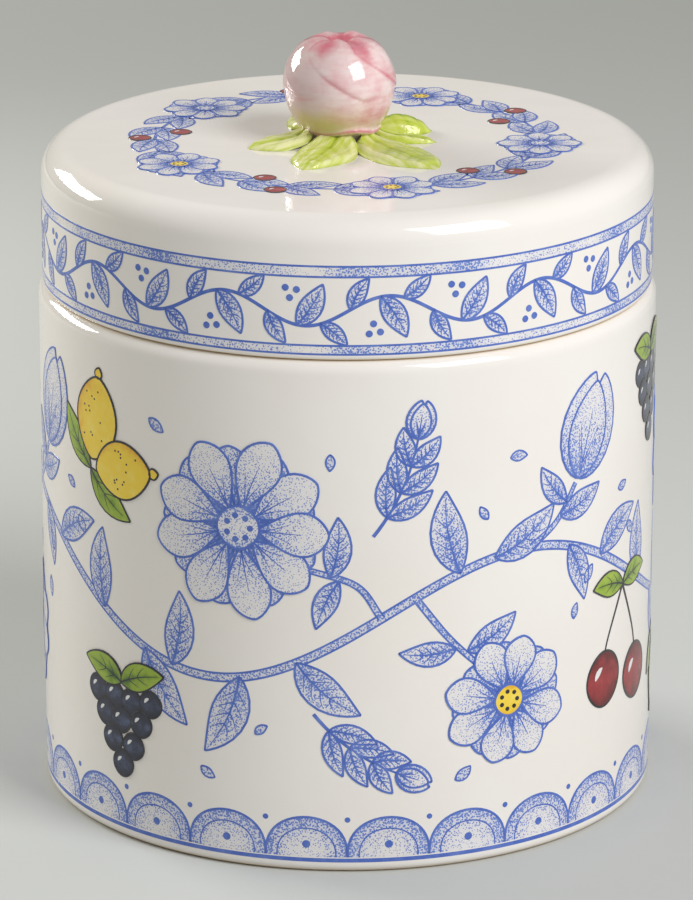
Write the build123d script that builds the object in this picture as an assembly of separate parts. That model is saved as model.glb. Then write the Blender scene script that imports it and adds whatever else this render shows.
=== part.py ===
from build123d import *

import os
from math import acos, atan2, degrees, sqrt

# A lidded ceramic canister: a slip-cast jar, a drum-shaped lid with a locating flange,
# and a hand-built knob of one flower bud in a ring of leaves.
# Millimetres, +Z up. The origin is the centre of the foot ring, on the table.

# Jar
JAR_RADIUS = 75.0
JAR_HEIGHT = 126.4
JAR_WALL = 6.0
JAR_FLOOR = 6.0
SHOULDER_RADIUS = 3.2
MOUTH_EDGE_RADIUS = 0.8
INNER_CORNER_RADIUS = 8.0
BASE_EDGE_RADIUS = 2.2
FOOT_WIDTH = 9.0
FOOT_HEIGHT = 2.5
FOOT_EDGE_RADIUS = 0.8

# Lid
LID_INSET = 1.0
LID_HEIGHT = 33.6
LID_WALL = 5.0
LID_CORNER_RADIUS = 6.5
LID_EDGE_RADIUS = 1.2
FLANGE_DEPTH = 8.0
FLANGE_WALL = 4.5
FLANGE_EDGE_RADIUS = 1.5
LID_PLAY = 1.5

# Bud of the knob: a core on a short neck, wrapped by petals that each stand a little prouder.
# The hand set it a little to the left of the lid's axis.
BUD_X = -2.0
BUD_RADIUS = 12.8
BUD_HALF_HEIGHT = 11.6
BUD_LIFT = 1.2
NECK_RADIUS = 6.8
NECK_FLARE = 1.2
DIMPLE_RADIUS = 4.4
DIMPLE_DEPTH = 1.8
DIMPLE_SWELL = 0.6
PETAL_COUNT = 5
PETAL_FIRST_STEP = 0.35
PETAL_NEXT_STEP = 0.18
PETAL_LENGTH = 26.0
PETAL_WIDTH = 18.5
PETAL_LEAN = 24.0
PETAL_RISE = 3.0
PETAL_START = 250.0

# Leaves: name, root (x, y), tip (x, y), width, crown, tip radius.
# They lean on the bud and drop to the lid.
LEAVES = (
    ("leaf_left", (-8.5, -2.2), (-23.8, -9.4), 11.0, 1.7, 0.8),
    ("leaf_front_left", (-1.8, -6.0), (-10.5, -29.0), 15.0, 1.7, 1.2),
    ("leaf_front_right", (5.0, -5.5), (21.3, -28.2), 16.0, 1.7, 0.8),
    ("leaf_right_low", (6.0, -0.4), (21.5, -2.8), 5.6, 1.5, 0.6),
    ("leaf_right_high", (4.5, 7.6), (20.5, 8.4), 10.0, 4.4, 2.6),
    ("leaf_back", (-5.0, 7.5), (-13.0, 21.5), 12.5, 1.9, 0.8),
)
LEAF_RIM = 0.8
LEAF_FULLEST = 0.44
LEAN_HEIGHT = 4.4
LEAN_START = 8.0
LEAN_MIDDLE = (14.5, 1.9)
LEAN_END = 32.0
VEIN_WIDTH = 1.2
VEIN_DEPTH = 0.4
VEIN_REACH = 0.9
SIDE_VEIN_WIDTH = 0.9
SIDE_VEIN_PLACES = (0.26, 0.44, 0.6)
SIDE_VEIN_ANGLE = 46.0
SIDE_VEIN_REACH = 0.85

# Places that follow from the sizes above
MOUTH_RADIUS = JAR_RADIUS - JAR_WALL
FLOOR_TOP = FOOT_HEIGHT + JAR_FLOOR
FOOT_INNER = JAR_RADIUS - FOOT_WIDTH
SEAT = JAR_HEIGHT
LID_RADIUS = JAR_RADIUS - LID_INSET
LID_TOP = SEAT + LID_HEIGHT
FLANGE_OUTER = MOUTH_RADIUS - LID_PLAY
FLANGE_INNER = FLANGE_OUTER - FLANGE_WALL
BUD_CENTRE = LID_TOP + BUD_LIFT + BUD_HALF_HEIGHT


def rounded(sketch, corners):
    """The sketch with a fillet at each (x, y, radius) corner."""
    for x, y, radius in corners:
        corner = sketch.vertices().sort_by_distance(Vector(x, y))[0]
        sketch = fillet(corner, radius)
    return sketch


def turned(sketch):
    """A half profile, drawn as radius across and height up, turned about the axis."""
    return revolve(Plane.XZ * sketch, Axis.Z)


def jar_body():
    """Straight-sided jar: foot ring under a recessed base, rounded shoulder, open mouth."""
    outline = Polyline(
        (FOOT_INNER, 0),
        (JAR_RADIUS, 0),
        (JAR_RADIUS, JAR_HEIGHT),
        (MOUTH_RADIUS, JAR_HEIGHT),
        (MOUTH_RADIUS, FLOOR_TOP),
        (0, FLOOR_TOP),
        (0, FOOT_HEIGHT),
        (FOOT_INNER, FOOT_HEIGHT),
        close=True,
    )
    profile = rounded(
        make_face(outline),
        (
            (FOOT_INNER, 0, FOOT_EDGE_RADIUS),
            (FOOT_INNER, FOOT_HEIGHT, FOOT_EDGE_RADIUS),
            (JAR_RADIUS, 0, BASE_EDGE_RADIUS),
            (JAR_RADIUS, JAR_HEIGHT, SHOULDER_RADIUS),
            (MOUTH_RADIUS, JAR_HEIGHT, MOUTH_EDGE_RADIUS),
            (MOUTH_RADIUS, FLOOR_TOP, INNER_CORNER_RADIUS),
        ),
    )
    return turned(profile)


def lid_cover():
    """Cast lid of even wall: flange inside the mouth, seat on the rim, skirt and flat top."""
    inner_radius = LID_RADIUS - LID_WALL
    under_top = LID_TOP - LID_WALL
    ledge_top = SEAT + LID_WALL
    flange_end = SEAT - FLANGE_DEPTH
    outline = Polyline(
        (0, LID_TOP),
        (0, under_top),
        (inner_radius, under_top),
        (inner_radius, ledge_top),
        (FLANGE_INNER, ledge_top),
        (FLANGE_INNER, flange_end),
        (FLANGE_OUTER, flange_end),
        (FLANGE_OUTER, SEAT),
        (LID_RADIUS, SEAT),
        (LID_RADIUS, LID_TOP),
        close=True,
    )
    profile = rounded(
        make_face(outline),
        (
            (LID_RADIUS, LID_TOP, LID_CORNER_RADIUS),
            (inner_radius, under_top, LID_CORNER_RADIUS - LID_WALL),
            (inner_radius, ledge_top, FLANGE_EDGE_RADIUS),
            (FLANGE_INNER, ledge_top, FLANGE_EDGE_RADIUS),
            (FLANGE_INNER, flange_end, FLANGE_EDGE_RADIUS),
            (FLANGE_OUTER, flange_end, FLANGE_EDGE_RADIUS),
            (LID_RADIUS, SEAT, LID_EDGE_RADIUS),
        ),
    )
    return turned(profile)


def bud_shape(proud):
    """The bud's round form, standing proud of the core by that much, with a dimple on top."""
    across = BUD_RADIUS + proud
    up = BUD_HALF_HEIGHT + proud
    lip_angle = degrees(acos(DIMPLE_RADIUS / across))
    side = EllipticalCenterArc((0, BUD_CENTRE), across, up, -90, arc_size=90 + lip_angle)
    lip = side @ 1
    pit = (0, lip.Y - DIMPLE_DEPTH)
    dimple = SagittaArc(lip, pit, -DIMPLE_SWELL)
    core = Line(pit, (0, BUD_CENTRE - up))
    return turned(make_face([side, dimple, core]))


def petal(number):
    """One petal: the bud's form, prouder than the petal before it, within a leaning lens."""
    proud = PETAL_FIRST_STEP + number * PETAL_NEXT_STEP
    half_length = PETAL_LENGTH / 2
    half_width = PETAL_WIDTH / 2
    edge = ThreePointArc((0, -half_length), (half_width, 0), (0, half_length))
    lens = make_face([edge, mirror(edge, Plane.YZ)])
    outward = Plane((0, 0, BUD_CENTRE + PETAL_RISE), x_dir=(0, 1, 0), z_dir=(1, 0, 0))
    prism = extrude(outward * Rot(0, 0, PETAL_LEAN) * lens, 2 * BUD_RADIUS)
    turn = PETAL_START + number * 360 / PETAL_COUNT
    return bud_shape(proud) & Rot(0, 0, turn) * prism


def knob_bud():
    """The closed flower bud: core, wrapped petals, and the neck that is stuck to the lid."""
    foot = NECK_RADIUS + NECK_FLARE
    neck = Polyline(
        (0, LID_TOP),
        (foot, LID_TOP),
        (NECK_RADIUS, LID_TOP + BUD_LIFT),
        (NECK_RADIUS, BUD_CENTRE),
        (0, BUD_CENTRE),
        close=True,
    )
    bud = bud_shape(0) + turned(make_face(neck))
    for number in range(PETAL_COUNT):
        bud += petal(number)
    return Pos(BUD_X, 0, 0) * bud


def bud_room():
    """The room kept free of leaves: the bud a step prouder than its last petal, and its neck."""
    proud = PETAL_FIRST_STEP + PETAL_COUNT * PETAL_NEXT_STEP
    foot = NECK_RADIUS + NECK_FLARE + PETAL_NEXT_STEP
    neck = Polyline((0, LID_TOP), (foot, LID_TOP), (foot, BUD_CENTRE), (0, BUD_CENTRE), close=True)
    return Pos(BUD_X, 0, 0) * (bud_shape(proud) + turned(make_face(neck)))


def leaf_outline(length, width, tip_radius):
    """A leaf along +X from its root: oval to its fullest place, then drawn to a rounded tip."""
    fullest = LEAF_FULLEST * length
    root_edge = EllipticalCenterArc((fullest, 0), fullest, width / 2, 90, arc_size=90)
    tip_edge = TangentArc((fullest, width / 2), (length, 0), tangent=(1, 0))
    below = [mirror(edge, Plane.XZ) for edge in (root_edge, tip_edge)]
    outline = make_face([root_edge, tip_edge, *below])
    return rounded(outline, [(length, 0, tip_radius)])


def leaf_veins(length, width):
    """The plan of a leaf's veins: a tapering midrib and pairs of tapering side veins."""
    rib = Polyline((0, -VEIN_WIDTH / 2), (VEIN_REACH * length, 0), (0, VEIN_WIDTH / 2), close=True)
    veins = make_face(rib)
    run = SIDE_VEIN_REACH * width / 2
    spike = Polyline((0, -SIDE_VEIN_WIDTH / 2), (run, 0), (0, SIDE_VEIN_WIDTH / 2), close=True)
    for place in SIDE_VEIN_PLACES:
        for side in (1, -1):
            veins += Pos(place * length, 0) * Rot(0, 0, side * SIDE_VEIN_ANGLE) * make_face(spike)
    return veins


def leaf_crown(length, width, crown):
    """A barrel along the leaf whose back rises from the rim to the crown at the leaf's middle."""
    half = length / 2
    rise = crown - LEAF_RIM
    cross_radius = ((width / 2) ** 2 + rise**2) / (2 * rise)
    axis_height = LID_TOP + crown - cross_radius
    rim_height = LID_TOP + LEAF_RIM
    back = ThreePointArc((0, rim_height), (half, LID_TOP + crown), (length, rim_height))
    ends = Polyline((length, rim_height), (length, axis_height), (0, axis_height), (0, rim_height))
    return revolve(Plane.XZ * make_face([back, ends]), Axis((0, 0, axis_height), (1, 0, 0)))


def leaf_lean():
    """The hollow slope round the bud that the leaves lie on, from the bud's side down to the lid."""
    top = LID_TOP + LEAN_HEIGHT
    rim = LID_TOP + LEAF_RIM
    middle = (LEAN_MIDDLE[0], LID_TOP + LEAN_MIDDLE[1])
    slope = ThreePointArc((LEAN_START, top), middle, (LEAN_END, rim))
    rest = Polyline((LEAN_END, rim), (LEAN_END, LID_TOP), (0, LID_TOP), (0, top), (LEAN_START, top))
    return Pos(BUD_X, 0, 0) * turned(make_face([slope, rest]))


def leaf(root, tip, width, crown, tip_radius):
    """One leaf from root to tip: its outline under the slope and the crown, with sunk veins."""
    across, along = tip[0] - root[0], tip[1] - root[1]
    length = sqrt(across**2 + along**2)
    place = Pos(root[0], root[1], 0) * Rot(0, 0, degrees(atan2(along, across)))
    lift = Pos(0, 0, LID_TOP)
    back = leaf_lean() + place * leaf_crown(length, width, crown)
    outline = leaf_outline(length, width, tip_radius)
    blank = extrude(place * lift * outline, 2 * LEAN_HEIGHT) & back
    grooves = extrude(place * lift * leaf_veins(length, width), 2 * LEAN_HEIGHT)
    return blank - (grooves - Pos(0, 0, -VEIN_DEPTH) * back)


def main():
    os.makedirs("parts", exist_ok=True)
    nodes = {"jar_body": jar_body(), "lid_cover": lid_cover(), "knob_bud": knob_bud()}
    room = bud_room()
    for name, *sizes in LEAVES:
        cut = leaf(*sizes) - room
        nodes[name] = cut.solids().sort_by(SortBy.VOLUME)[-1]
    for name, shape in nodes.items():
        export_step(shape, f"parts/{name}.step")
        print(name, len(shape.solids()), round(shape.volume, 1))


main()
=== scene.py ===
import math

import bpy
import numpy as np
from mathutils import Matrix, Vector


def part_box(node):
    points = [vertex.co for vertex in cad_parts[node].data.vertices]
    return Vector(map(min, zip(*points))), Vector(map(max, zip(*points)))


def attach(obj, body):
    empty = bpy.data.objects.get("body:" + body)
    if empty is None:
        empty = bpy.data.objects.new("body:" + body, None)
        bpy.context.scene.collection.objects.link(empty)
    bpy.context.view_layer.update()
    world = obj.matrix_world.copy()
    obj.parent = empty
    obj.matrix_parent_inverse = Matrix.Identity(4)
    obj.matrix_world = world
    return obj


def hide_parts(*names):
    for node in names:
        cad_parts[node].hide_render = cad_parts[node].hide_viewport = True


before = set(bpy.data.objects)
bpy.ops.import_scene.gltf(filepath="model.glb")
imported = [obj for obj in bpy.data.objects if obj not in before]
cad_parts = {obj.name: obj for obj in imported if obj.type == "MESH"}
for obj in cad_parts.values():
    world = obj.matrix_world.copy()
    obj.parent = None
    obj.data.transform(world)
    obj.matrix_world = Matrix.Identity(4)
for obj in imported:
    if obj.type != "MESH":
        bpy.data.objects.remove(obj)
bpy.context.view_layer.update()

# Sizes, in millimetres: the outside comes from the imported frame, the rest repeats the CAD's values
MM = 0.001
JAR_HIGH = np.round(np.array(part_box("jar_body")[1]) / MM, 1)
LID_LOW, LID_HIGH = np.round(np.array(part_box("lid_cover")) / MM, 1)
JAR_RADIUS = JAR_HIGH[0]
SEAT = JAR_HIGH[2]
JAR_WALL = 6.0
MOUTH_RADIUS = JAR_RADIUS - JAR_WALL
FLOOR_TOP = 8.5
FOOT_WIDTH = 9.0
FOOT_INNER = JAR_RADIUS - FOOT_WIDTH
FOOT_HEIGHT = 2.5
LID_RADIUS = LID_HIGH[0]
LID_TOP = LID_HIGH[2]
LID_WALL = 5.0
FLANGE_END = LID_LOW[2]
FLANGE_PLAY = 1.5
FLANGE_WALL = 4.5
FLANGE_OUTER = MOUTH_RADIUS - FLANGE_PLAY
FLANGE_INNER = FLANGE_OUTER - FLANGE_WALL
BUD_X = -2.0
# Angle of the front, from +X
FRONT = -math.pi / 2

# Edge roundings
BASE_EDGE = 2.2
FOOT_EDGE = 0.8
SHOULDER_EDGE = 3.2
MOUTH_EDGE = 0.8
INNER_CORNER = 8.0
LID_CORNER = 6.5
LID_EDGE = 1.2
FLANGE_EDGE = 1.5
SEAT_FILLET = 0.3

# Colours, linear; an enamel's are deep, full and pale, an ink's are dark and thin
CREAM = (0.85, 0.818, 0.775)
CREAM_POOLED = (0.84, 0.8, 0.745)
CLAY = (0.58, 0.43, 0.22)
CLAY_PALE = (0.72, 0.57, 0.36)
BUD_PALE = (0.86, 0.73, 0.71)
BUD_CLOUD = (0.77, 0.5, 0.5)
# Painted shade for the bud's left side, which faces away from the key light
BUD_PAINTED_SHADE = (0.56, 0.42, 0.41)
BUD_OLIVE = (0.6, 0.5, 0.24)
BUD_ROSE = (0.6, 0.15, 0.2)
LEAF_COLOURS = ((0.22, 0.34, 0.02), (0.54, 0.63, 0.085), (0.8, 0.8, 0.42))
BLUE_INK = (0.07, 0.14, 0.5)
BLUE_THIN = (0.13, 0.21, 0.57)
BLUE_PALE = (0.2, 0.3, 0.66)
ENAMELS = {
    "yellow": ((0.75, 0.4, 0.03), (0.88, 0.63, 0.05), (0.9, 0.74, 0.16)),
    "red": ((0.12, 0.012, 0.014), (0.31, 0.028, 0.032), (0.5, 0.1, 0.08)),
    "plum": ((0.012, 0.012, 0.02), (0.03, 0.035, 0.06), (0.1, 0.13, 0.24)),
    "green": ((0.06, 0.14, 0.02), (0.3, 0.43, 0.04), (0.5, 0.6, 0.1)),
}
DARK_INK = ((0.018, 0.018, 0.022), (0.05, 0.05, 0.06))
WHITE_ENAMEL = ((0.8, 0.8, 0.78), (0.66, 0.68, 0.72))

# Roughness of each finish
GLAZE_ROUGHNESS = 0.07
CLAY_ROUGHNESS = 0.75
STIPPLE_ROUGHNESS = 0.08
PAINT_ROUGHNESS = 0.09
LEAF_ROUGHNESS = 0.1
BUD_ROUGHNESS = 0.05
FLOOR_ROUGHNESS = 0.8

# Random draws, the same on each run
chance = np.random.default_rng(11)


# Curves and directions

def ramp(value, low, high):
    """The value's place between low and high, from 0 to 1."""
    return np.clip((value - low) / (high - low), 0, 1)


def eased(value, low, high):
    """The value's place between low and high, from 0 to 1 with soft ends."""
    place = ramp(value, low, high)
    return place**2 * (3 - 2 * place)


def near(value, centre, width):
    """A smooth bump, 1 at the centre."""
    return np.exp(-(((value - centre) / width) ** 2))


def turns(count):
    """Angles evenly spaced once round."""
    return np.arange(count) * 2 * math.pi / count


def on_ring(angle, radius, x=0.0, y=0.0):
    """Points (x, y) at those angles on a ring of that radius round a middle."""
    return x + radius * np.cos(angle), y + radius * np.sin(angle)


def left_of(along):
    """Unit vectors to the left of flat directions."""
    unit = along / np.maximum(np.linalg.norm(along, axis=-1, keepdims=True), 1e-9)
    return np.stack([-unit[..., 1], unit[..., 0]], axis=-1)


def smooth_line(points, steps):
    """A Catmull-Rom curve through the points, sampled evenly between them."""
    p = np.array(points, float)
    p = np.concatenate([[2 * p[0] - p[1]], p, [2 * p[-1] - p[-2]]])
    place = np.linspace(0, len(points) - 1, steps)
    span = np.minimum(place.astype(int), len(points) - 2)
    t = (place - span)[:, None]
    a, b, c, d = (p[span + i] for i in range(4))
    square = 2 * a - 5 * b + 4 * c - d
    cube = 3 * b - a - 3 * c + d
    return 0.5 * (2 * b + (c - a) * t + square * t**2 + cube * t**3)


def rounded_line(corners, steps=10, guard=0.5):
    """A half profile of (radius, height) points with square corners rounded to quarter circles.
    Each corner is (radius, height, rounding). A guard point past each arc keeps flats flat."""
    corners = np.array(corners, float)
    line = [corners[0, :2]]
    for before, here, after in zip(corners, corners[1:], corners[2:]):
        into = (here[:2] - before[:2]) / np.linalg.norm(here[:2] - before[:2])
        out = (after[:2] - here[:2]) / np.linalg.norm(after[:2] - here[:2])
        turn = np.linspace(0, math.pi / 2, steps)[:, None]
        arc = here[:2] - into * here[2] * (1 - np.sin(turn)) + out * here[2] * (1 - np.cos(turn))
        line += [arc[0] - into * guard, *arc, arc[-1] + out * guard]
    line.append(corners[-1, :2])
    return np.array(line)


# Mesh building

def put_mesh(name, points, quads, tris, material, body, crease=None, marks=None):
    """Makes one smooth-shaded object from arrays in millimetres. Faces are turned outwards by the
    sign of the enclosed volume, the sum of a . (b x c) over the faces' triangles."""
    points = np.asarray(points, float)
    quads = np.asarray(quads, int).reshape(-1, 4)
    tris = np.asarray(tris, int).reshape(-1, 3)
    fans = np.concatenate([quads[:, [0, 1, 2]], quads[:, [0, 2, 3]], tris])
    a, b, c = (points[fans[:, i]] for i in range(3))
    if np.einsum("ij,ij->", a, np.cross(b, c)) < 0:
        quads = quads[:, ::-1]
        tris = tris[:, ::-1]
    mesh = bpy.data.meshes.new(name)
    mesh.vertices.add(len(points))
    mesh.vertices.foreach_set("co", (points * MM).ravel())
    corners = np.concatenate([quads.ravel(), tris.ravel()])
    sizes = np.concatenate([np.full(len(quads), 4), np.full(len(tris), 3)])
    mesh.loops.add(len(corners))
    mesh.loops.foreach_set("vertex_index", corners)
    mesh.polygons.add(len(sizes))
    mesh.polygons.foreach_set("loop_start", np.cumsum(sizes) - sizes)
    mesh.update(calc_edges=True)
    mesh.validate()
    mesh.polygons.foreach_set("use_smooth", np.ones(len(sizes), bool))
    if crease is not None:
        mesh.set_sharp_from_angle(angle=math.radians(crease))
    for mark, values in (marks or {}).items():
        values = np.asarray(values, float)
        kind, field = ("FLOAT_VECTOR", "vector") if values.ndim == 2 else ("FLOAT", "value")
        mesh.attributes.new(mark, kind, "POINT").data.foreach_set(field, values.ravel())
    mesh.materials.append(material)
    piece = bpy.data.objects.new(name, mesh)
    bpy.context.scene.collection.objects.link(piece)
    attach(piece, body)
    return piece


def grid_faces(rows, columns, closed_columns=False):
    """Quads of a grid of points numbered row by row; closed columns join the last to the first."""
    row = np.arange(rows - 1)[:, None] * columns
    column = np.arange(columns if closed_columns else columns - 1)[None, :]
    beside = (column + 1) % columns
    corners = [row + column, row + beside, row + columns + beside, row + columns + column]
    return np.stack(corners, axis=-1).reshape(-1, 4)


def plate_faces(rows, columns):
    """Quads of a plate: a grid on top, the same grid under it, and a wall round the edge."""
    face = grid_faces(rows, columns)
    under = rows * columns
    order = np.arange(under).reshape(rows, columns)
    edge = np.concatenate([order[0, :-1], order[:-1, -1], order[-1, :0:-1], order[:0:-1, 0]])
    beside = np.roll(edge, -1)
    wall = np.stack([edge, beside, beside + under, edge + under], axis=-1)
    return np.concatenate([face[:, ::-1], face + under, wall])


def turned_mesh(radius, height):
    """Points, quads and fans of a surface of revolution. radius and height are arrays with one row
    per ring and one column per direction; the first and last rings shrink to single poles."""
    rings, sides = radius.shape
    angle = turns(sides)
    rim = np.stack([*on_ring(angle, radius), height], axis=-1)[1:-1]
    low = [0.0, 0.0, height[0].mean()]
    high = [0.0, 0.0, height[-1].mean()]
    points = np.concatenate([rim.reshape(-1, 3), [low, high]])
    quads = grid_faces(rings - 2, sides, closed_columns=True)
    first = np.arange(sides)
    beside = (first + 1) % sides
    last = (rings - 3) * sides
    low_fan = np.stack([np.full(sides, len(points) - 2), beside, first], axis=-1)
    high_fan = np.stack([np.full(sides, len(points) - 1), last + first, last + beside], axis=-1)
    return points, quads, np.concatenate([low_fan, high_fan])


def on_rings(values):
    """A ring-by-side array of marks in the order of a turned mesh's points, poles last."""
    wide = values.reshape(*values.shape[:2], -1)
    rim = wide[1:-1].reshape(-1, wide.shape[2])
    return np.concatenate([rim, wide[0, :1], wide[-1, :1]]).reshape(-1, *values.shape[2:])


# Material nodes

# Places of the colour sockets on a Mix node
MIX_FIRST, MIX_SECOND, MIX_RESULT = 6, 7, 2


def feed(tree, socket, value):
    """Gives an input its value: an output to link it to, a number or a vector."""
    if isinstance(value, bpy.types.NodeSocket):
        tree.links.new(value, socket)
    else:
        socket.default_value = value


def node_of(tree, kind, output, inputs, **settings):
    """One output of a new node with those inputs and settings."""
    node = tree.nodes.new(kind)
    for name, setting in settings.items():
        setattr(node, name, setting)
    for name, value in inputs.items():
        feed(tree, node.inputs[name], value)
    return node.outputs[output]


def start_material(name, roughness):
    """A material of that roughness, with its node tree, shader and Object coordinates."""
    material = bpy.data.materials.new(name)
    material.use_nodes = True
    tree = material.node_tree
    shader = tree.nodes["Principled BSDF"]
    shader.inputs["Roughness"].default_value = roughness
    return material, tree, shader, node_of(tree, "ShaderNodeTexCoord", "Object", {})


def noise(tree, place, scale, detail=3.0, roughness=0.5):
    """Fractal noise, about 0.25 to 0.75, with features 1/scale of the coordinates' unit wide."""
    inputs = {"Vector": place, "Scale": scale, "Detail": detail, "Roughness": roughness}
    return node_of(tree, "ShaderNodeTexNoise", "Fac", inputs)


def stretched(tree, place, scale):
    """The coordinates with each axis multiplied, so that a noise on them is drawn out."""
    return node_of(tree, "ShaderNodeMapping", "Vector", {"Vector": place, "Scale": scale})


def marked(tree, name, field="Fac"):
    """A value stored on the mesh's points."""
    return node_of(tree, "ShaderNodeAttribute", field, {}, attribute_name=name)


def sums(tree, operation, *values):
    """One arithmetic step on its values, each a socket or a number."""
    return node_of(tree, "ShaderNodeMath", "Value", dict(enumerate(values)), operation=operation)


def swayed(tree, streak, amount, mark):
    """A mark moved up and down by that much of a noise, whose middle is a half."""
    return sums(tree, "MULTIPLY_ADD", sums(tree, "SUBTRACT", streak, 0.5), amount, marked(tree, mark))


def between(tree, value, low, high, to_low=0.0, to_high=1.0):
    """The value's place between low and high, smoothly, scaled to the two ends given."""
    inputs = {"Value": value, "From Min": low, "From Max": high, "To Min": to_low, "To Max": to_high}
    return node_of(tree, "ShaderNodeMapRange", "Result", inputs, interpolation_type="SMOOTHSTEP")


def blended(tree, share, first, second):
    """A mix of two colours, each a socket or a linear colour."""
    first, second = ((*colour, 1.0) if isinstance(colour, tuple) else colour for colour in (first, second))
    inputs = {"Factor": share, MIX_FIRST: first, MIX_SECOND: second}
    return node_of(tree, "ShaderNodeMix", MIX_RESULT, inputs, data_type="RGBA")


def toned(tree, tone, deep, full, pale):
    """A colour that goes from pale at tone 0 to full at a half and to deep at 1."""
    lower = blended(tree, between(tree, tone, 0.0, 0.5), pale, full)
    return blended(tree, between(tree, tone, 0.45, 1.0), lower, deep)


def raised(tree, shader, height, depth):
    """A bump of that depth in metres on the shader's normal."""
    inputs = {"Strength": 1.0, "Distance": depth, "Height": height}
    feed(tree, shader.inputs["Normal"], node_of(tree, "ShaderNodeBump", "Normal", inputs))


# Materials. A grain is a noise's features in a metre, a depth is in metres, and a brush is how much
# the marks of that name are multiplied before a noise is laid on them.
POOL_GRAIN = 24
CLAY_GRAIN = 900
RIPPLE_GRAIN = 34
STIPPLE_GRAIN = 2100
DYE_GRAIN = 160
INK_GRAIN = 240
ENAMEL_GRAIN = 330
LEAF_GRAIN = 700
BUD_GRAIN = 200
RIPPLE_DEPTH = 0.00035
LEAF_DEPTH = 0.00012
BUD_DEPTH = 0.00008
LEAF_BRUSH = (1.4, 4.4, 1.0)
CLOUD_BRUSH = (1.3, 1.3, 6.0)
STREAK_BRUSH = (1.5, 1.5, 26.0)


def cream_colour(tree, place):
    """The glaze's cream, a little warmer where it pools."""
    pools = between(tree, noise(tree, place, POOL_GRAIN), 0.35, 0.7)
    return blended(tree, pools, CREAM, CREAM_POOLED)


def glaze_material():
    """Cream gloss glaze, slightly wavy as cast ware is, with bare clay where the mark says so."""
    material, tree, shader, place = start_material("cream_glaze", GLAZE_ROUGHNESS)
    bare = marked(tree, "bare")
    grain = blended(tree, noise(tree, place, CLAY_GRAIN, 4.0), CLAY, CLAY_PALE)
    colour = blended(tree, bare, cream_colour(tree, place), grain)
    rough = between(tree, bare, 0.0, 1.0, GLAZE_ROUGHNESS, CLAY_ROUGHNESS)
    tree.links.new(colour, shader.inputs["Base Color"])
    tree.links.new(rough, shader.inputs["Roughness"])
    raised(tree, shader, noise(tree, place, RIPPLE_GRAIN, 2.0), RIPPLE_DEPTH)
    return material


def wash_material():
    """Blue stippled print: dots of ink on the cream, denser where the tone mark is higher."""
    material, tree, shader, place = start_material("blue_stipple", STIPPLE_ROUGHNESS)
    cells = node_of(tree, "ShaderNodeTexVoronoi", "Distance", {"Vector": place, "Scale": STIPPLE_GRAIN})
    tone = marked(tree, "tone")
    reach = sums(tree, "MULTIPLY_ADD", tone, 0.58, 0.14)
    ink = between(tree, sums(tree, "SUBTRACT", reach, cells), -0.09, 0.09)
    tint = between(tree, tone, 0.0, 1.0, 0.05, 0.42)
    ground = blended(tree, tint, cream_colour(tree, place), BLUE_PALE)
    dye = blended(tree, noise(tree, place, DYE_GRAIN), BLUE_INK, BLUE_PALE)
    tree.links.new(blended(tree, ink, ground, dye), shader.inputs["Base Color"])
    return material


def ink_material(name, dark, thin):
    """Printed or brushed colour that thins here and there."""
    material, tree, shader, place = start_material(name, PAINT_ROUGHNESS)
    share = between(tree, noise(tree, place, INK_GRAIN, 4.0, 0.6), 0.38, 0.72)
    tree.links.new(blended(tree, share, dark, thin), shader.inputs["Base Color"])
    return material


def enamel_material(name, deep, full, pale):
    """Hand-brushed enamel: deep where the tone mark is high, pale where it is low, in streaks."""
    material, tree, shader, place = start_material(name, PAINT_ROUGHNESS)
    tone = swayed(tree, noise(tree, place, ENAMEL_GRAIN, 4.0, 0.65), 0.9, "tone")
    tree.links.new(toned(tree, tone, deep, full, pale), shader.inputs["Base Color"])
    return material


def leaf_material():
    """Yellow-green paint in strokes along the leaf, deep in the veins and pale on the swells."""
    material, tree, shader, place = start_material("leaf_glaze", LEAF_ROUGHNESS)
    brush = stretched(tree, marked(tree, "brush", "Vector"), LEAF_BRUSH)
    tone = swayed(tree, noise(tree, brush, 1.0, 4.0, 0.55), 1.35, "tone")
    tree.links.new(toned(tree, tone, *LEAF_COLOURS), shader.inputs["Base Color"])
    raised(tree, shader, noise(tree, place, LEAF_GRAIN, 2.0), LEAF_DEPTH)
    return material


def rose_material():
    """White-pink enamel, clouded and brushed round the bud, darkened by painted shade, stained olive
    and rose where the marks say so."""
    material, tree, shader, place = start_material("rose_glaze", BUD_ROUGHNESS)
    brush = marked(tree, "brush", "Vector")
    cloud = noise(tree, stretched(tree, brush, CLOUD_BRUSH), 1.5, 3.0, 0.55)
    streak = noise(tree, stretched(tree, brush, STREAK_BRUSH), 1.8, 4.0, 0.6)
    soft = sums(tree, "MULTIPLY_ADD", streak, 0.35, sums(tree, "MULTIPLY", cloud, 0.65))
    ground = blended(tree, between(tree, soft, 0.32, 0.7), BUD_PALE, BUD_CLOUD)
    # Painted shade over the bud's left side, where the shade mark says so
    painted_shade = blended(tree, marked(tree, "shade"), ground, BUD_PAINTED_SHADE)
    stained = blended(tree, marked(tree, "olive"), painted_shade, BUD_OLIVE)
    rose = between(tree, swayed(tree, soft, 0.9, "rose"), 0.06, 1.0)
    tree.links.new(blended(tree, rose, stained, BUD_ROSE), shader.inputs["Base Color"])
    raised(tree, shader, noise(tree, place, BUD_GRAIN, 2.0), BUD_DEPTH)
    return material


# Jar and lid

TURNED_SIDES = 360
# Heights at which the glaze gives out: over the foot, under the seat on the jar, over it on the lid
FOOT_FADE = (0.2, 1.2)
LAND_FADE = (SEAT - 0.35, SEAT - 0.05)
LID_FADE = (SEAT + 0.1, SEAT + 0.5)


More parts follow.
